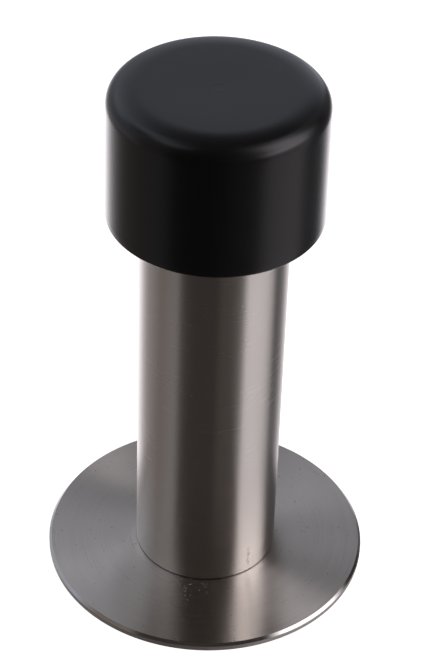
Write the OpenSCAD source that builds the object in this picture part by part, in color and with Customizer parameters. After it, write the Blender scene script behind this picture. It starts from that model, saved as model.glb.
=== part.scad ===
// Door stop: a tubular stainless post on a thin round rosette, with a rubber buffer
// cap pushed over its free end. The post is screwed onto a fixing stud that comes
// out of the wall or floor, and it clamps the loose rosette under its foot.
// Z runs along the post. Z = 0 is the plane that the rosette rests on.

/* [Whole stop] */
// Height of the stop from the mounting surface to the buffer's top
stop_h = 85; // [75:1:120]

/* [Rosette] */
// Outer diameter of the rosette
rosette_d = 50; // [42:1:70]
// Thickness of the rosette
rosette_t = 1.25; // [1:0.05:3]
// Height and width of the polished bevel round the rosette's top edge
rosette_bevel = 0.4; // [0.2:0.05:0.6]
// Chamfer that breaks the rosette's other edges
rosette_break = 0.1; // [0.05:0.05:0.2]

/* [Post tube] */
// Outer diameter of the post
post_d = 22; // [18:0.5:24]
// Wall thickness of the post
post_wall = 1.5; // [1:0.1:2]
// Chamfer on the edges of the post's ends
post_break = 0.15; // [0.1:0.05:0.3]

/* [Foot insert] */
// Tapping diameter of the fixing thread (6.8 for M8)
thread_d = 6.8; // [5:0.1:8.5]
// Length of full thread behind the countersunk mouth
thread_l = 12; // [8:0.5:14]
// Width of the countersink at the thread's mouth
thread_lead = 0.8; // [0.4:0.1:1.2]
// Diameter of the spigot that centres the rosette
spigot_d = 12; // [11.5:0.5:14]
// Length of the insert above its spigot
insert_l = 18; // [17:0.5:24]
// Depth of the two glue grooves round the insert
groove_depth = 0.3; // [0.2:0.05:0.5]
// Width of each glue groove
groove_w = 1.6; // [1:0.1:2.5]

/* [Head plug] */
// Thickness of the plug's flange, which covers the end of the post
flange_t = 2; // [1.2:0.1:3]
// Length of the plug's skirt inside the post
skirt_l = 9; // [6:0.5:14]
// Wall thickness of the skirt
skirt_wall = 2; // [1.2:0.1:3]

/* [Buffer cap] */
// Diameter of the buffer at its lower edge
buffer_d = 31.7; // [29:0.1:36]
// Height of the buffer
buffer_h = 21; // [16:0.1:28]
// Thickness of rubber above the post's end
buffer_roof = 5; // [3.5:0.25:7]
// Radius round the buffer's top edge
buffer_round = 2.5; // [1.5:0.1:3.5]
// Radius of the gentle crown between that edge and the flat striking face
crown_round = 10; // [6:0.2:14]
// Angle in degrees that the crown turns through
crown_angle = 16; // [8:1:25]
// Draft angle of the buffer's side
buffer_draft = 0.5; // [0:0.1:1]
// Chamfer on the buffer's lower edge
buffer_break = 0.3; // [0.1:0.05:0.5]
// Depth of the relief between the grip rings in the socket
grip_relief = 0.25; // [0.1:0.05:0.5]
// Height of each grip ring in the socket
grip_h = 2.4; // [1.5:0.1:2.5]

/* [Fits] */
// Radial clearance of a piece that turns or slides on another
running_gap = 0.05; // [0.01:0.01:0.1]
// Gap between two faces that meet end to end
face_gap = 0.05; // [0.02:0.01:0.1]

/* [Hidden] */

$fn = 96;
overrun = 1; // how far a cutting shape runs past the face that it opens

rosette_r = rosette_d / 2;
post_r = post_d / 2;
bore_r = post_r - post_wall;
spigot_r = spigot_d / 2;
thread_r = thread_d / 2;

// Heights, from the mounting surface up
foot_z = rosette_t + face_gap;
roof_z = stop_h - buffer_roof;
flange_top_z = roof_z - face_gap;
head_z = flange_top_z - flange_t;
buffer_z = stop_h - buffer_h;

// Foot insert: its body is set back a little, so that the tube's rim takes the clamping
insert_setback = 0.2;
insert_z = foot_z + insert_setback;
insert_break = 0.4;
spigot_z = 0.2;
spigot_break = 0.2;
drill_cone = 31; // degrees from flat, as a 118 degree drill leaves it
drill_point_h = thread_r * tan(drill_cone);
groove_pitch = insert_l / 3;

// Head plug
flange_break = 0.4;
skirt_break = 0.6;

// Buffer cap
socket_r = post_r + running_gap;
relief_r = socket_r + grip_relief;
socket_lead = 0.5;
grip_count = 3;
grip_pitch = (roof_z - buffer_z - grip_h) / (grip_count - 1);
round_z = stop_h - crown_round * (1 - cos(crown_angle)) - buffer_round * cos(crown_angle);
round_r = buffer_d / 2 - (round_z - buffer_z) * tan(buffer_draft)
    - buffer_round / cos(buffer_draft);
face_r = round_r - (crown_round - buffer_round) * sin(crown_angle);

// A cylinder with a chamfer at each end, standing on Z = 0
module chamfered_rod(r, h, low, high) {
    rotate_extrude()
        polygon([[0, 0], [r - low, 0], [r, low], [r, h - high], [r - high, h], [0, h]]);
}

// A hole along Z through a plate of thickness h, with both rims chamfered
module chamfered_hole(r, h, rim) {
    rotate_extrude()
        polygon([
            [0, -overrun], [r + rim + overrun, -overrun], [r, rim],
            [r, h - rim], [r + rim + overrun, h + overrun], [0, h + overrun]
        ]);
}

// Thin round plate with a polished bevel and a centring hole for the foot insert
module rosette() {
    color([0.62, 0.61, 0.60])
        difference() {
            chamfered_rod(rosette_r, rosette_t, rosette_break, rosette_bevel);
            chamfered_hole(spigot_r + running_gap, rosette_t, rosette_break);
        }
}

// Plain tube from the rosette up to the head plug's flange
module post_tube() {
    tube_l = head_z - foot_z;
    color([0.66, 0.64, 0.63])
        translate([0, 0, foot_z])
            difference() {
                chamfered_rod(post_r, tube_l, post_break, post_break);
                translate([0, 0, -overrun])
                    cylinder(r = bore_r, h = tube_l + 2 * overrun);
            }
}

// Turned insert that is pressed and glued into the tube's foot: it holds the fixing
// thread, and its spigot drops into the rosette's hole
module foot_insert() {
    color([0.72, 0.72, 0.70])
        difference() {
            union() {
                translate([0, 0, spigot_z])
                    chamfered_rod(spigot_r, insert_z - spigot_z + overrun, spigot_break, 0);
                translate([0, 0, insert_z])
                    chamfered_rod(bore_r, insert_l, insert_break, insert_break);
            }
            fixing_thread();
            for (i = [1, 2])
                translate([0, 0, insert_z + i * groove_pitch - groove_w / 2])
                    glue_groove();
        }
}

// Tapped blind hole with a countersunk mouth and the cone that the drill leaves
module fixing_thread() {
    full_l = thread_l + thread_lead;
    translate([0, 0, spigot_z])
        rotate_extrude()
            polygon([
                [0, -overrun], [thread_r + thread_lead + overrun, -overrun],
                [thread_r, thread_lead], [thread_r, full_l], [0, full_l + drill_point_h]
            ]);
}

// Ring that cuts one glue groove into the insert's outside
module glue_groove() {
    difference() {
        cylinder(r = bore_r + overrun, h = groove_w);
        translate([0, 0, -overrun])
            cylinder(r = bore_r - groove_depth, h = groove_w + 2 * overrun);
    }
}

// Moulded plug with a hollow skirt: its flange keeps the tube's edge off the rubber
module head_plug() {
    color([0.16, 0.16, 0.17])
        difference() {
            union() {
                translate([0, 0, head_z])
                    chamfered_rod(post_r, flange_t, 0, flange_break);
                translate([0, 0, head_z - skirt_l])
                    chamfered_rod(bore_r, skirt_l + flange_t / 2, skirt_break, 0);
            }
            translate([0, 0, head_z - skirt_l - overrun])
                cylinder(r = bore_r - skirt_wall, h = skirt_l + overrun);
        }
}

// Solid rubber cap with a deep socket for the post's end
module buffer_cap() {
    color([0.10, 0.10, 0.11])
        difference() {
            rotate_extrude() buffer_outline();
            socket();
        }
}

// Half section of the cap's outside: its top edge is a small arc that runs into the
// larger arc of the crown, and the crown ends level with the flat striking face
module buffer_outline() {
    side_r = buffer_d / 2;
    reach = 2 * crown_round;
    translate([round_r, round_z]) circle(r = buffer_round);
    translate([face_r, stop_h - crown_round])
        intersection() {
            circle(r = crown_round);
            polygon([[0, 0], [0, reach], [reach * sin(crown_angle), reach * cos(crown_angle)]]);
        }
    polygon([
        [0, buffer_z],
        [side_r - buffer_break, buffer_z],
        [side_r, buffer_z + buffer_break],
        [
            round_r + buffer_round * cos(buffer_draft),
            round_z + buffer_round * sin(buffer_draft)
        ],
        [
            round_r + buffer_round * sin(crown_angle),
            round_z + buffer_round * cos(crown_angle)
        ],
        [face_r, stop_h],
        [0, stop_h]
    ]);
}

// Hollow of the cap: a bore with three grip rings that close on the post, and a
// flared mouth
module socket() {
    depth = roof_z - buffer_z;
    translate([0, 0, buffer_z]) {
        difference() {
            cylinder(r = relief_r, h = depth);
            for (i = [0 : grip_count - 1])
                translate([0, 0, i * grip_pitch])
                    grip_ring();
        }
        translate([0, 0, -overrun])
            cylinder(
                r1 = socket_r + socket_lead + overrun,
                r2 = socket_r,
                h = socket_lead + overrun
            );
        cylinder(r = socket_r, h = depth);
    }
}

// Ring of rubber that stands proud of the socket's wall by the relief's depth
module grip_ring() {
    difference() {
        cylinder(r = relief_r + overrun, h = grip_h);
        translate([0, 0, -overrun])
            cylinder(r = socket_r, h = grip_h + 2 * overrun);
    }
}

rosette();
post_tube();
foot_insert();
head_plug();
buffer_cap();
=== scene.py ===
"""Looks of a round door stop: a brushed steel post on a thin rosette, with a rubber buffer.

Everything is in metres, in the CAD frame: the rosette lies on Z = 0 and the post stands
along +Z. Outer sizes are read from the CAD nodes. Inner sizes and small details are set
here, and they repeat the sizes in the CAD source.
"""
import math

import bpy
from mathutils import Matrix, Vector


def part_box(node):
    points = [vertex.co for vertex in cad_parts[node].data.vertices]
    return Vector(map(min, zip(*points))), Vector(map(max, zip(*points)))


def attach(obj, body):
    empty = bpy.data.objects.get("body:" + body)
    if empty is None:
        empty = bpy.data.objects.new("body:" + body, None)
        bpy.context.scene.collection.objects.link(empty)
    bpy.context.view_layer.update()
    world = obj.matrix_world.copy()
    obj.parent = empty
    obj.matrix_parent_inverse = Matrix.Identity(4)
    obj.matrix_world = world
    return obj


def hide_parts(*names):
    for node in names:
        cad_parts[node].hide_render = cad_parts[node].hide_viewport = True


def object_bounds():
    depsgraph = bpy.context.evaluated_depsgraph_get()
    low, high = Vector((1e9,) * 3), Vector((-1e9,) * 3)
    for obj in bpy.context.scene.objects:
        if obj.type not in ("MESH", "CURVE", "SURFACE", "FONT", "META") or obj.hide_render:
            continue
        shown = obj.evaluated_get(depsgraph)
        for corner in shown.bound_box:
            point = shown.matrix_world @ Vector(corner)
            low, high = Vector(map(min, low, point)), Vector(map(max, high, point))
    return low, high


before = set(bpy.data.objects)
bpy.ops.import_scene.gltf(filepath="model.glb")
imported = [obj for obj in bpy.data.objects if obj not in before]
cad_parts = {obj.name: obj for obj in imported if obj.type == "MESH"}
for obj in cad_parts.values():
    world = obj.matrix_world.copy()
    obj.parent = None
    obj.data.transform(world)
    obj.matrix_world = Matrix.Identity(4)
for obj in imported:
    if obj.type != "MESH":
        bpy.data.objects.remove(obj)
cad_low, cad_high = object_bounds()

MM = 0.001

# ---------------------------------------------------------------- turned meshes

AROUND = 192  # points round a turned piece, unless it asks for fewer
SHARP_FROM = math.radians(24)  # an edge that turns by more than this stays sharp
TINY = 1e-9  # two lengths closer than this are the same


def arc(centre_r, centre_z, radius, start, end, steps):
    """Points (r, z) along an arc. Angles are in degrees, from outwards (0) to up (90)."""
    points = []
    for i in range(steps + 1):
        angle = math.radians(start + (end - start) * i / steps)
        points.append((centre_r + radius * math.cos(angle), centre_z + radius * math.sin(angle)))
    return points


def evenly(start, end, steps):
    """Points (r, z) along a straight stretch, both ends included."""
    return [
        (
            start[0] + (end[0] - start[0]) * i / steps,
            start[1] + (end[1] - start[1]) * i / steps,
        )
        for i in range(steps + 1)
    ]


def turned(name, stretches, materials, closed, around=AROUND, shape=None):
    """A turned mesh from stretches of (r, z) points, each with the index of its material.

    Consecutive stretches share their end point. A point on the axis becomes one vertex.
    A closed profile ends where it began. shape(r, z, angle) may move a point, and it
    returns its new (r, z).
    """
    profile, face_slots = [], []
    for points, slot in stretches:
        fresh = points if not profile else points[1:]
        face_slots += [slot] * (len(points) - 1)
        profile += fresh
    if closed:
        profile.pop()

    vertices, rings = [], []
    for r, z in profile:
        if r < TINY:
            rings.append([len(vertices)] * around)
            vertices.append((0.0, 0.0, z))
            continue
        rings.append(list(range(len(vertices), len(vertices) + around)))
        for k in range(around):
            angle = 2 * math.pi * k / around
            shaped_r, shaped_z = shape(r, z, angle) if shape else (r, z)
            vertices.append((shaped_r * math.cos(angle), shaped_r * math.sin(angle), shaped_z))

    faces, slots = [], []
    for i, slot in enumerate(face_slots):
        low, high = rings[i], rings[(i + 1) % len(rings)]
        for k in range(around):
            n = (k + 1) % around
            corners = []
            for v in (low[k], low[n], high[n], high[k]):
                if v not in corners:
                    corners.append(v)
            if len(corners) > 2:
                faces.append(corners)
                slots.append(slot)

    mesh = bpy.data.meshes.new(name)
    mesh.from_pydata(vertices, [], faces)
    for material in materials:
        mesh.materials.append(material)
    mesh.polygons.foreach_set("material_index", slots)
    mesh.shade_smooth()
    mesh.set_sharp_from_angle(angle=SHARP_FROM)
    mesh.validate()
    piece = bpy.data.objects.new(name, mesh)
    bpy.context.scene.collection.objects.link(piece)
    return piece


def turned_in_one(name, stretches, material, around=AROUND):
    """A turned mesh of one material, whose profile starts and ends on the axis."""
    return turned(name, [(points, 0) for points in stretches], [material], False, around)


# ---------------------------------------------------------------- material nodes


class Nodes:
    """A short hand for building one node tree. Values may be numbers or other sockets."""

    def __init__(self, tree):
        self.tree = tree

    def add(self, kind, inputs=None, **settings):
        node = self.tree.nodes.new(kind)
        for key, value in settings.items():
            setattr(node, key, value)
        for key, value in (inputs or {}).items():
            self.feed(node.inputs[key], value)
        return node

    def feed(self, socket, value):
        if isinstance(value, bpy.types.NodeSocket):
            self.tree.links.new(value, socket)
        else:
            socket.default_value = value

    def math(self, operation, *values):
        node = self.add("ShaderNodeMath", operation=operation)
        for socket, value in zip(node.inputs, values):
            self.feed(socket, value)
        return node.outputs[0]

    def ramp(self, value, low, high, to_low=0.0, to_high=1.0, smooth=False):
        """Maps low..high onto to_low..to_high, and holds the ends beyond them."""
        node = self.add(
            "ShaderNodeMapRange",
            {0: value, 1: low, 2: high, 3: to_low, 4: to_high},
            interpolation_type="SMOOTHSTEP" if smooth else "LINEAR",
        )
        return node.outputs[0]

    def noise(self, vector, size, detail, roughness):
        """Noise whose broadest features are about size across."""
        node = self.add(
            "ShaderNodeTexNoise",
            {"Vector": vector, "Scale": 1 / size, "Detail": detail, "Roughness": roughness},
        )
        return node.outputs[0]

    def mix(self, factor, first, second):
        node = self.add("ShaderNodeMix", data_type="RGBA")
        self.feed(node.inputs[0], factor)
        self.feed(node.inputs[6], first)
        self.feed(node.inputs[7], second)
        return node.outputs[2]

    def bump(self, depth, height):
        node = self.add("ShaderNodeBump", {"Strength": 1.0, "Distance": depth, "Height": height})
        return node.outputs[0]

    def grains(self, place, pitch):
        """Cells about pitch apart: the distance to a cell's middle, and its random numbers."""
        cells = self.add("ShaderNodeTexVoronoi", {"Vector": place, "Scale": 1 / pitch})
        lots = self.add("ShaderNodeSeparateColor", {0: cells.outputs["Color"]}).outputs
        return cells.outputs["Distance"], lots


def new_material(name):
    """A bare material, returned with its nodes, its shader and the place on the object."""
    material = bpy.data.materials.new(name)
    material.use_nodes = True
    material.node_tree.nodes.clear()
    nodes = Nodes(material.node_tree)
    shader = nodes.add("ShaderNodeBsdfPrincipled")
    nodes.add("ShaderNodeOutputMaterial", {"Surface": shader.outputs[0]})
    place = nodes.add("ShaderNodeTexCoord").outputs["Object"]
    return material, nodes, shader, place


def grey(level, warmth=0.0):
    """A grey, with its red raised and its blue lowered by the share in warmth."""
    return (level * (1 + warmth), level, level * (1 - warmth), 1.0)


def spread(value, share):
    """The lowest and the highest value that stray from this one by a share of it."""
    return value * (1 - share), value * (1 + share)


# Noise values below the first count as darkest and above the second as palest
STREAK_SPAN = (0.32, 0.68)
CLOUD_SPAN = (0.30, 0.70)
PATCH_SPAN = (0.35, 0.65)

# ---------------------------------------------------------------- steel

STREAK_LENGTH = 14 * MM
STREAK_SHARE = 0.7  # the streaks' share of the steel's shading. Broad clouds have the rest
DUST_PITCH = 0.50 * MM
DUST_SIZE = 0.23  # a grain's radius, as a share of the pitch
DUST_CORE = 0.3  # the part of the patch's reach that has its full density
DUST_STRAY = 0.05  # the share of the density that is left outside the patch
DUST_DARK, DUST_PALE = grey(0.19, 0.25), grey(0.38, 0.2)
NICK_BENDS = 0.4 * MM
NICK_FADE = (0.3, 0.5)  # where its ends fade, as shares of its length from its middle
NICK_COLOUR = grey(0.10, 0.2)
NICK_COVER = 0.60  # how far the nick's colour hides the steel
NICK_DULLS = 0.3  # what the nick adds to the roughness


def radius_of(nodes, x, y):
    """The distance from the axis."""
    squares = nodes.math("ADD", nodes.math("MULTIPLY", x, x), nodes.math("MULTIPLY", y, y))
    return nodes.math("SQRT", squares)


def brushing(nodes, x, y, across, grain):
    """Noise that changes every grain metres across the lines, and slowly along them."""
    along = 1 / STREAK_LENGTH
    stretched = nodes.add(
        "ShaderNodeCombineXYZ",
        {
            0: nodes.math("MULTIPLY", x, along),
            1: nodes.math("MULTIPLY", y, along),
            2: nodes.math("MULTIPLY", across, 1 / grain),
        },
    ).outputs[0]
    return nodes.noise(stretched, 1.0, detail=3.0, roughness=0.65)


def dust_on(nodes, shader, place, steel, middle, reach, density):
    """Strews a patch of dust over the steel and returns the new colour.

    density is the share of cells that hold a grain at the middle. Far from it, a few
    grains are left. A grain is not metal.
    """
    distance, lots = nodes.grains(place, DUST_PITCH)
    away = nodes.add(
        "ShaderNodeVectorMath", {0: place, 1: middle}, operation="DISTANCE"
    ).outputs["Value"]
    share = nodes.ramp(
        away, reach * DUST_CORE, reach, density, density * DUST_STRAY, smooth=True
    )
    grain = nodes.math(
        "MULTIPLY",
        nodes.math("LESS_THAN", distance, DUST_SIZE),
        nodes.math("LESS_THAN", lots[0], share),
    )
    nodes.feed(shader.inputs["Metallic"], nodes.math("SUBTRACT", 1.0, grain))
    return nodes.mix(grain, steel, nodes.mix(lots[1], DUST_DARK, DUST_PALE))


def nick_in(nodes, place, x, y, z, turn, height, width, length):
    """1 in an upright nick that wanders a little, and 0 elsewhere.

    turn is its angle round the post, from the camera's side (-Y) towards +X.
    """
    sideways = nodes.math(
        "ADD",
        nodes.math("MULTIPLY", x, math.cos(turn)),
        nodes.math("MULTIPLY", y, math.sin(turn)),
    )
    bends = nodes.noise(place, NICK_BENDS, detail=2.0, roughness=0.5)
    wander = nodes.ramp(bends, *CLOUD_SPAN, -width, width)
    aside = nodes.math("ABSOLUTE", nodes.math("ADD", sideways, wander))
    upward = nodes.math("ABSOLUTE", nodes.math("SUBTRACT", z, height))
    on_this_side = nodes.math(
        "SUBTRACT",
        nodes.math("MULTIPLY", x, math.sin(turn)),
        nodes.math("MULTIPLY", y, math.cos(turn)),
    )
    return nodes.math(
        "MULTIPLY",
        nodes.math(
            "MULTIPLY",
            nodes.ramp(aside, 0.0, width, 1.0, 0.0),
            nodes.ramp(upward, *(length * share for share in NICK_FADE), 1.0, 0.0),
        ),
        nodes.math("GREATER_THAN", on_this_side, 0.0),
    )


def brushed(name, lines, level, warmth, roughness, grain, depth, vary, dust=None, nick=None):
    """Brushed steel, with "level" lines round a post or "rings" on a plate.

    grain is the width of a line and depth its depth. vary is how far the colour strays,
    and the gloss strays twice as far. The gloss is stretched across the lines. dust is
    the middle, reach and density of a patch. nick is its turn, height, width and length.
    """
    material, nodes, shader, place = new_material(name)
    x, y, z = nodes.add("ShaderNodeSeparateXYZ", {0: place}).outputs
    across = radius_of(nodes, x, y) if lines == "rings" else z
    streaks = brushing(nodes, x, y, across, grain)
    cloud = nodes.noise(place, 7 * MM, detail=3.0, roughness=0.55)
    shade = nodes.math(
        "ADD",
        nodes.math("MULTIPLY", streaks, STREAK_SHARE),
        nodes.math("MULTIPLY", cloud, 1 - STREAK_SHARE),
    )
    dark, pale = (grey(value, warmth) for value in spread(level, vary))
    steel = nodes.mix(nodes.ramp(shade, *STREAK_SPAN), dark, pale)
    gloss = nodes.ramp(shade, *STREAK_SPAN, *spread(roughness, 2 * vary))
    shader.inputs["Metallic"].default_value = 1.0
    if dust:
        steel = dust_on(nodes, shader, place, steel, *dust)
    if nick:
        mark = nick_in(nodes, place, x, y, z, *nick)
        steel = nodes.mix(nodes.math("MULTIPLY", mark, NICK_COVER), steel, NICK_COLOUR)
        gloss = nodes.math("ADD", gloss, nodes.math("MULTIPLY", mark, NICK_DULLS))
    nodes.feed(shader.inputs["Base Color"], steel)
    nodes.feed(shader.inputs["Roughness"], gloss)
    shader.inputs["Anisotropic"].default_value = 1.0
    shader.inputs["Anisotropic Rotation"].default_value = 0.25
    tangent = nodes.add("ShaderNodeTangent", direction_type="RADIAL", axis="Z")
    nodes.feed(shader.inputs["Tangent"], tangent.outputs[0])
    nodes.feed(shader.inputs["Normal"], nodes.bump(depth, streaks))
    return material


def turned_steel(name, level, warmth, roughness):
    """Plain turned or polished steel, with faint handling marks in its colour and gloss."""
    material, nodes, shader, place = new_material(name)
    cloud = nodes.noise(place, 4 * MM, detail=4.0, roughness=0.6)
    dark, pale = (grey(value, warmth) for value in spread(level, 0.03))
    nodes.feed(shader.inputs["Base Color"], nodes.mix(cloud, dark, pale))
    gloss = nodes.ramp(cloud, *CLOUD_SPAN, *spread(roughness, 0.08))
    nodes.feed(shader.inputs["Roughness"], gloss)
    shader.inputs["Metallic"].default_value = 1.0
    return material


def seam_shade_steel(name, level, roughness):
    """Dulled steel in a seam, darkened with painted shade for the crease, in darker and paler
    patches at random.
    """
    material, nodes, shader, place = new_material(name)
    patches = nodes.noise(place, 1.5 * MM, detail=4.0, roughness=0.6)
    dark, pale = spread(level, 0.6)
    steel = nodes.mix(nodes.ramp(patches, *PATCH_SPAN), grey(dark, 0.3), grey(pale, 0.15))
    nodes.feed(shader.inputs["Base Color"], steel)
    glossy, dull = spread(roughness, 0.1)
    nodes.feed(shader.inputs["Roughness"], nodes.ramp(patches, *PATCH_SPAN, dull, glossy))
    shader.inputs["Metallic"].default_value = 0.6
    return material


post_brushed = brushed(
    "post_brushed",
    "level",
    level=0.65,
    warmth=0.05,
    roughness=0.27,
    grain=0.11 * MM,
    depth=0.00002 * MM,
    vary=0.009,
    nick=(math.radians(38.3), 3.95 * MM, 0.28 * MM, 5.0 * MM),
)
plate_brushed = brushed(
    "plate_brushed",
    "rings",
    level=0.62,
    warmth=0.065,
    roughness=0.30,
    grain=0.16 * MM,
    depth=0.00040 * MM,
    vary=0.055,
    dust=(Vector((-1.5 * MM, -12.8 * MM, 1.25 * MM)), 4.0 * MM, 0.70),
)
edge_polished = turned_steel("edge_polished", level=0.62, warmth=0.02, roughness=0.10)
side_turned = turned_steel("side_turned", level=0.58, warmth=0.05, roughness=0.62)
bore_plain = turned_steel("bore_plain", level=0.45, warmth=0.02, roughness=0.42)
insert_turned = turned_steel("insert_turned", level=0.60, warmth=0.0, roughness=0.28)
thread_cut = turned_steel("thread_cut", level=0.50, warmth=0.02, roughness=0.38)
# Painted shade: the near-black seam round the post's foot, where it meets the plate.
seam_painted_shade = seam_shade_steel("seam_painted_shade", level=0.025, roughness=0.65)

# ---------------------------------------------------------------- rubber and plastic

SPECK_PITCH = 2.6 * MM
SPECK_SIZE = 0.035  # a speck's radius, as a share of the pitch
SPECK_COLOUR = grey(0.05)
SKIM_SPAN = (0.55, 0.9)  # from where a surface counts as seen edge on, to fully so


def moulded(name, colour, roughness, skim_gloss, grain, depth, speckle):
    """Moulded rubber or plastic: a fine grain, uneven gloss and a little pale dust.

    skim_gloss scales the roughness where the surface is seen edge on. speckle is the
    share of cells that hold a speck of dust.
    """
    material, nodes, shader, place = new_material(name)
    fine = nodes.noise(place, grain, detail=3.0, roughness=0.6)
    cloud = nodes.noise(place, 6 * MM, detail=3.0, roughness=0.55)
    distance, lots = nodes.grains(place, SPECK_PITCH)
    speck = nodes.math(
        "MULTIPLY",
        nodes.math("LESS_THAN", distance, SPECK_SIZE),
        nodes.math("GREATER_THAN", lots[0], 1 - speckle),
    )
    dark, pale = (tuple(c * share for c in colour) + (1.0,) for share in (0.9, 1.1))
    body = nodes.mix(cloud, dark, pale)
    nodes.feed(shader.inputs["Base Color"], nodes.mix(speck, body, SPECK_COLOUR))
    facing = nodes.add("ShaderNodeLayerWeight", {"Blend": 0.5}).outputs["Facing"]
    satin = nodes.ramp(cloud, *CLOUD_SPAN, *spread(roughness, 0.07))
    shine = nodes.ramp(facing, *SKIM_SPAN, 1.0, skim_gloss, smooth=True)
    nodes.feed(shader.inputs["Roughness"], nodes.math("MULTIPLY", satin, shine))
    nodes.feed(shader.inputs["Normal"], nodes.bump(depth, fine))
    return material


buffer_rubber = moulded(
    "buffer_rubber",
    colour=(0.0035, 0.0035, 0.0042),
    roughness=0.30,
    skim_gloss=0.50,
    grain=0.22 * MM,
    depth=0.004 * MM,
    speckle=0.01,
)
plug_nylon = moulded(
    "plug_nylon",
    colour=(0.03, 0.03, 0.033),
    roughness=0.5,
    skim_gloss=0.8,
    grain=0.3 * MM,
    depth=0.006 * MM,
    speckle=0.0,
)

# ---------------------------------------------------------------- pieces


def placed(piece, body, node):
    """Rides a finished piece on its body, in place of the CAD node."""
    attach(piece, body)
    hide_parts(node)
    return piece


def make_rosette():
    """The thin plate, with a polished bevel round its top and broken edges elsewhere."""
    _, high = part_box("rosette")
    edge_r, top = high.x, high.z
    hole_r = 6.05 * MM
    bevel = 0.40 * MM
    brk = 0.10 * MM
    ringed, polished, plain = range(3)
    stretches = [
        (evenly((hole_r + brk, 0), (edge_r - brk, 0), 6), plain),
        (arc(edge_r - brk, brk, brk, -90, 0, 4), plain),
        (evenly((edge_r, brk), (edge_r, top - bevel), 2), plain),
        (evenly((edge_r, top - bevel), (edge_r - bevel, top), 2), polished),
        (evenly((edge_r - bevel, top), (hole_r + brk, top), 24), ringed),
        ([(hole_r + brk, top), (hole_r, top - brk)], plain),
        ([(hole_r, top - brk), (hole_r, brk)], plain),
        ([(hole_r, brk), (hole_r + brk, 0)], plain),
    ]
    materials = [plate_brushed, edge_polished, side_turned]
    piece = turned("rosette_plate", stretches, materials, True)
    return placed(piece, "rosette", "rosette")


def make_post():
    """The tube. Its rounded lower edge is the dark seam round the foot, darkened with painted
    shade.
    """
    low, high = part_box("post_tube")
    outer, base, top = high.x, low.z, high.z
    inner = outer - 1.5 * MM
    brk = 0.15 * MM
    outside, bore, seam = range(3)
    stretches = [
        ([(inner, base), (outer - brk, base)], seam),
        (arc(outer - brk, base + brk, brk, -90, 0, 4), seam),
        (evenly((outer, base + brk), (outer, top - brk), 24), outside),
        (arc(outer - brk, top - brk, brk, 0, 90, 4), outside),
        ([(outer - brk, top), (inner, top)], bore),
        (evenly((inner, top), (inner, base), 8), bore),
    ]
    piece = turned("post", stretches, [post_brushed, bore_plain, seam_painted_shade], True)
    return placed(piece, "post", "post_tube")


def struck_face(top):
    """The buffer's face from its middle outwards.

    It sinks a little towards its middle, where the mould's gate left a small ring.
    """
    dish, dish_r = 0.06, 10.2  # both in mm
    gate = {0: -0.012, 0.3: -0.012, 0.6: -0.008, 1.05: 0.008}  # radius to height, in mm
    radii = (0, 0.3, 0.6, 0.85, 1.05, 1.25, 1.5, 2, 3, 4, 5, 6, 7, 8, 9, 9.6, 10.2, 10.8)
    points = []
    for r in radii:
        sink = dish * (0.5 + 0.5 * math.cos(math.pi * min(r / dish_r, 1.0)))
        points.append((r * MM, top + (gate.get(r, 0.0) - sink) * MM))
    return points


def make_buffer():
    """The rubber cap, with a crowned shoulder and three grip rings in its socket."""
    low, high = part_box("buffer_cap")
    side_r, base, top = high.x, low.z, high.z
    rounding = 2.5 * MM
    crown = 10.0 * MM
    crown_degrees, draft_degrees = 16, 0.5
    lip = 0.30 * MM
    socket_r, relief_r = 11.05 * MM, 11.30 * MM
    ring_count, ring_h = 3, 2.4 * MM
    mouth = 0.5 * MM
    roof = top - 5.0 * MM

    crown_angle, draft = math.radians(crown_degrees), math.radians(draft_degrees)
    round_z = top - crown * (1 - math.cos(crown_angle)) - rounding * math.cos(crown_angle)
    round_r = side_r - (round_z - base) * math.tan(draft) - rounding / math.cos(draft)
    face_r = round_r - (crown - rounding) * math.sin(crown_angle)
    side_top = (round_r + rounding * math.cos(draft), round_z + rounding * math.sin(draft))

    stretches = [
        struck_face(top) + [(face_r, top)],
        arc(face_r, top - crown, crown, 90, 90 - crown_degrees, 9),
        arc(round_r, round_z, rounding, 90 - crown_degrees, draft_degrees, 16),
        evenly(side_top, (side_r, base + lip), 16),
        arc(side_r - lip, base + lip, lip, 0, -90, 5),
        evenly((side_r - lip, base), (socket_r + mouth, base), 4),
        [(socket_r + mouth, base), (socket_r, base + mouth)],
    ]
    pitch = (roof - base - ring_h) / (ring_count - 1)
    at = base + mouth
    for i in range(ring_count):
        ring_low = base + i * pitch
        ring_high = ring_low + ring_h
        if i:
            stretches.append(
                [(socket_r, at), (relief_r, at), (relief_r, ring_low), (socket_r, ring_low)]
            )
            at = ring_low
        stretches.append([(socket_r, at), (socket_r, ring_high)])
        at = ring_high
    stretches.append(evenly((socket_r, roof), (0, roof), 4))
    piece = turned_in_one("buffer", stretches, buffer_rubber)
    return placed(piece, "buffer", "buffer_cap")


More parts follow.
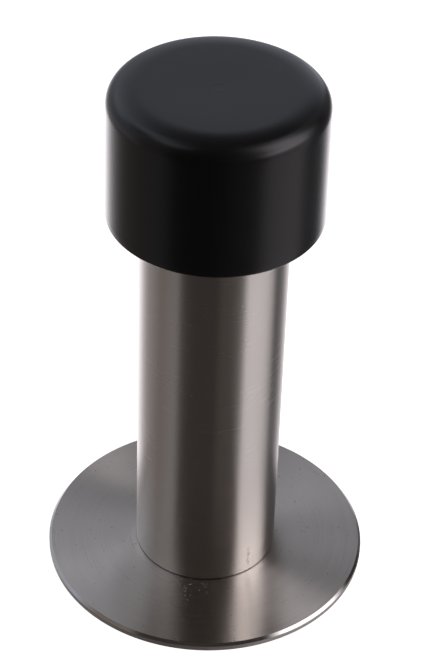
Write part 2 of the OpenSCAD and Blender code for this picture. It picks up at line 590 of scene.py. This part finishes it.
def make_insert():
    """The turned insert, with its M8 thread cut as a real helix."""
    low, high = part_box("foot_insert")
    body_r, base, top = high.x, low.z, high.z
    shoulder = 1.5 * MM
    spigot_r = 6.0 * MM
    brk, spigot_brk = 0.4 * MM, 0.2 * MM
    groove, groove_w = 0.3 * MM, 1.6 * MM
    groove_step = (top - shoulder) / 3
    bore_r = 3.4 * MM
    lead = 0.8 * MM
    cone = bore_r * math.tan(math.radians(31))  # what a 118 degree drill leaves
    thread_pitch = 1.25 * MM
    thread_depth = 0.6 * MM
    thread_end = base + lead + 12.0 * MM
    thread_steps = 116  # about 12 for each turn
    run_out = 1.5 * MM  # over which the thread fades at its inner end
    crest, slope = 0.12, 0.70  # the crest's half width and a flank's, as shares of half a turn
    around = 128
    plain, thread = range(2)

    outside = [
        (evenly((bore_r + lead, base), (spigot_r - spigot_brk, base), 3), plain),
        ([(spigot_r - spigot_brk, base), (spigot_r, base + spigot_brk)], plain),
        ([(spigot_r, base + spigot_brk), (spigot_r, shoulder)], plain),
        (evenly((spigot_r, shoulder), (body_r - brk, shoulder), 3), plain),
        ([(body_r - brk, shoulder), (body_r, shoulder + brk)], plain),
    ]
    at = shoulder + brk
    for i in (1, 2):
        groove_low = shoulder + i * groove_step - groove_w / 2
        groove_high = groove_low + groove_w
        points = [
            (body_r, at),
            (body_r, groove_low),
            (body_r - groove, groove_low),
            (body_r - groove, groove_high),
            (body_r, groove_high),
        ]
        outside.append((points, plain))
        at = groove_high
    outside += [
        ([(body_r, at), (body_r, top - brk)], plain),
        ([(body_r, top - brk), (body_r - brk, top)], plain),
        (evenly((body_r - brk, top), (0, top), 4), plain),
    ]
    inside = [
        ([(0, thread_end + cone), (bore_r, thread_end)], thread),
        (evenly((bore_r, thread_end), (bore_r, base + lead), thread_steps), thread),
        (evenly((bore_r, base + lead), (bore_r + lead, base), 4), plain),
    ]

    def threaded(r, z, angle):
        """Sinks the bore's points into the thread, which fades at both of its ends."""
        if abs(r - bore_r) > TINY or z > thread_end - TINY:
            return r, z
        phase = (z / thread_pitch - angle / (2 * math.pi)) % 1.0
        flank = 1.0 - abs(2 * phase - 1)  # 0 at the crest, 1 at the root
        cut = min(max((flank - crest) / slope, 0.0), 1.0)
        fade = min(max((thread_end - z) / run_out, 0.0), 1.0)
        fade *= min(max((z - base - 0.4 * lead) / (0.6 * lead), 0.0), 1.0)
        return r + thread_depth * cut * fade, z

    materials = [insert_turned, thread_cut]
    piece = turned("insert", outside + inside, materials, False, around, threaded)
    return placed(piece, "post", "foot_insert")


def make_plug():
    """The moulded plug: a soft-edged flange over the post's end and a skirt in its bore."""
    low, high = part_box("head_plug")
    flange_r, base, top = high.x, low.z, high.z
    ceiling = top - 2.0 * MM
    rim, flash = 0.4 * MM, 0.02 * MM
    skirt_r, hollow_r = 9.5 * MM, 7.5 * MM
    lead = 0.6 * MM
    sink, sink_r, sink_edge = 0.12 * MM, 6.0 * MM, 0.3 * MM
    gate, gate_r, gate_edge = 0.30 * MM, 0.5 * MM, 0.3 * MM
    around = 144
    gate_rim = (gate_r + gate_edge, top - sink)
    sink_rim = (sink_r + sink_edge, top)
    stretches = [
        [(0, top - gate), (gate_r, top - gate), gate_rim],
        evenly(gate_rim, (sink_r, top - sink), 5),
        evenly((sink_r, top - sink), sink_rim, 2),
        evenly(sink_rim, (flange_r - rim, top), 4),
        arc(flange_r - rim, top - rim, rim, 90, 0, 6),
        [(flange_r, top - rim), (flange_r, ceiling + flash), (flange_r - flash, ceiling)],
        [(flange_r - flash, ceiling), (skirt_r, ceiling)],
        evenly((skirt_r, ceiling), (skirt_r, base + lead), 4),
        [(skirt_r, base + lead), (skirt_r - lead, base), (hollow_r, base)],
        evenly((hollow_r, base), (hollow_r, ceiling), 4),
        evenly((hollow_r, ceiling), (0, ceiling), 3),
    ]
    piece = turned_in_one("plug", stretches, plug_nylon, around)
    return placed(piece, "post", "head_plug")


make_rosette()
make_post()
make_insert()
make_plug()
make_buffer()

# ---------------------------------------------------------------- stage and light

FLOOR_HALF = 4.0
FLOOR_GAP = 0.02 * MM  # keeps the floor clear of the rosette's underside

WARM = (1.12, 0.97, 0.90)
NEUTRAL = (1.02, 0.97, 1.01)
COOL = (0.92, 0.97, 1.11)
AMBIENT = 0.040  # warm light from every side
BACKDROP = grey(1.0)  # what the camera sees behind the stop

# One panel of light a line: its low azimuth, high azimuth and their soft edge, its low
# elevation, high elevation and their soft edge, all in degrees, then its level and tint.
# Azimuth 0 is the camera's side, and it grows towards +X.
PANELS = [
    (-260, -134, 18, -100, -18, 14, 1.85, NEUTRAL),
    (143, 260, 15, -100, -18, 14, 1.60, NEUTRAL),
    (-260, -84, 10, -18, 34, 10, 0.43, COOL),
    (-160, -114, 8, 22, 52, 7, 0.65, COOL),
    (-138, -52, 12, 49, 68, 8, 0.74, COOL),
    (-260, -160, 8, 4, 29, 5, 0.10, COOL),
    (160, 260, 8, 4, 29, 5, 0.10, COOL),
    (-260, -162, 8, 34, 42, 5, 0.50, COOL),
    (163, 260, 8, -18, 41, 6, 0.52, COOL),
    (153, 167, 5, -4, 22, 6, 1.05, COOL),
    (50, 99, 4, -100, 2, 8, 0.56, NEUTRAL),
    (47, 94, 4, 4, 18, 6, 2.60, NEUTRAL),
    (54, 102, 9, 18, 50, 10, 2.30, NEUTRAL),
    (58, 124, 12, 50, 62, 10, 1.50, NEUTRAL),
    (104, 150, 8, -100, 0, 8, 0.06, COOL),
    (130, 152, 7, 0, 46, 8, 0.16, COOL),
    (-130, -72, 4, -100, -2, 8, 0.13, WARM),
    (-72, -49, 4, -100, -2, 8, 0.17, NEUTRAL),
    (-84, -48, 6, -2, 60, 8, 0.14, WARM),
    (12, 50, 8, -100, 30, 10, 0.03, WARM),
]


def make_floor():
    """A pale floor that only the camera sees, so that the panels alone light the stop."""
    mesh = bpy.data.meshes.new("floor")
    corners = [(x * FLOOR_HALF, y * FLOOR_HALF, 0) for x, y in ((-1, -1), (1, -1), (1, 1), (-1, 1))]
    mesh.from_pydata(corners, [], [(0, 1, 2, 3)])
    floor = bpy.data.objects.new("floor", mesh)
    bpy.context.scene.collection.objects.link(floor)
    floor.location.z = cad_low.z - FLOOR_GAP
    material, _, shader, _ = new_material("floor_pale")
    shader.inputs["Base Color"].default_value = grey(0.8)
    shader.inputs["Roughness"].default_value = 1.0
    shader.inputs["Specular IOR Level"].default_value = 0.0
    shader.inputs["Emission Color"].default_value = grey(1.0)
    shader.inputs["Emission Strength"].default_value = 0.9
    mesh.materials.append(material)
    floor.visible_glossy = False
    floor.visible_diffuse = False
    floor.visible_shadow = False


def window(nodes, value, low, high, soft):
    """1 between low and high, 0 outside them, with edges that are soft on both sides."""
    rise = nodes.ramp(value, low - soft, low + soft, smooth=True)
    fall = nodes.ramp(value, high - soft, high + soft, 1.0, 0.0, smooth=True)
    return nodes.math("MULTIPLY", rise, fall)


def make_surroundings():
    """The studio: panels of soft light all round, and a plain pale backdrop."""
    world = bpy.data.worlds.new("studio")
    bpy.context.scene.world = world
    world.use_nodes = True
    world.node_tree.nodes.clear()
    nodes = Nodes(world.node_tree)
    way = nodes.add("ShaderNodeTexCoord").outputs["Generated"]
    x, y, z = nodes.add("ShaderNodeSeparateXYZ", {0: way}).outputs
    degrees = 180 / math.pi
    azimuth = nodes.math(
        "MULTIPLY", nodes.math("ARCTAN2", x, nodes.math("MULTIPLY", y, -1.0)), degrees
    )
    elevation = nodes.math("MULTIPLY", nodes.math("ARCSINE", z), degrees)

    total = tuple(AMBIENT * t for t in WARM)
    for low_az, high_az, soft_az, low_el, high_el, soft_el, level, tint in PANELS:
        panel = nodes.math(
            "MULTIPLY",
            window(nodes, azimuth, low_az, high_az, soft_az),
            window(nodes, elevation, low_el, high_el, soft_el),
        )
        lit = nodes.add("ShaderNodeVectorMath", operation="MULTIPLY_ADD")
        nodes.feed(lit.inputs[0], panel)
        nodes.feed(lit.inputs[1], tuple(level * t for t in tint))
        nodes.feed(lit.inputs[2], total)
        total = lit.outputs[0]
    seen = nodes.add("ShaderNodeLightPath").outputs["Is Camera Ray"]
    background = nodes.add(
        "ShaderNodeBackground", {"Color": nodes.mix(seen, total, BACKDROP), "Strength": 1.0}
    )
    nodes.add("ShaderNodeOutputWorld", {"Surface": background.outputs[0]})


def make_camera():
    """The photo's view: it looks down on the stop from -Y."""
    aim = Vector((1.28 * MM, 0, 41.58 * MM))
    distance = 323.16 * MM
    azimuth, elevation, roll = (math.radians(a) for a in (0.29, 38.442, 2.021))
    forward = Vector(
        (
            math.sin(azimuth) * math.cos(elevation),
            math.cos(azimuth) * math.cos(elevation),
            -math.sin(elevation),
        )
    )
    data = bpy.data.cameras.new("camera")
    data.lens = 116.31
    data.sensor_width = 36.0
    data.clip_start, data.clip_end = 0.01, 20.0
    camera = bpy.data.objects.new("camera", data)
    bpy.context.scene.collection.objects.link(camera)
    turn = forward.to_track_quat("-Z", "Y").to_matrix().to_4x4() @ Matrix.Rotation(roll, 4, "Z")
    camera.matrix_world = Matrix.Translation(aim - forward * distance) @ turn
    bpy.context.scene.camera = camera


make_floor()
make_surroundings()
make_camera()
bpy.context.scene.view_settings.view_transform = "Standard"
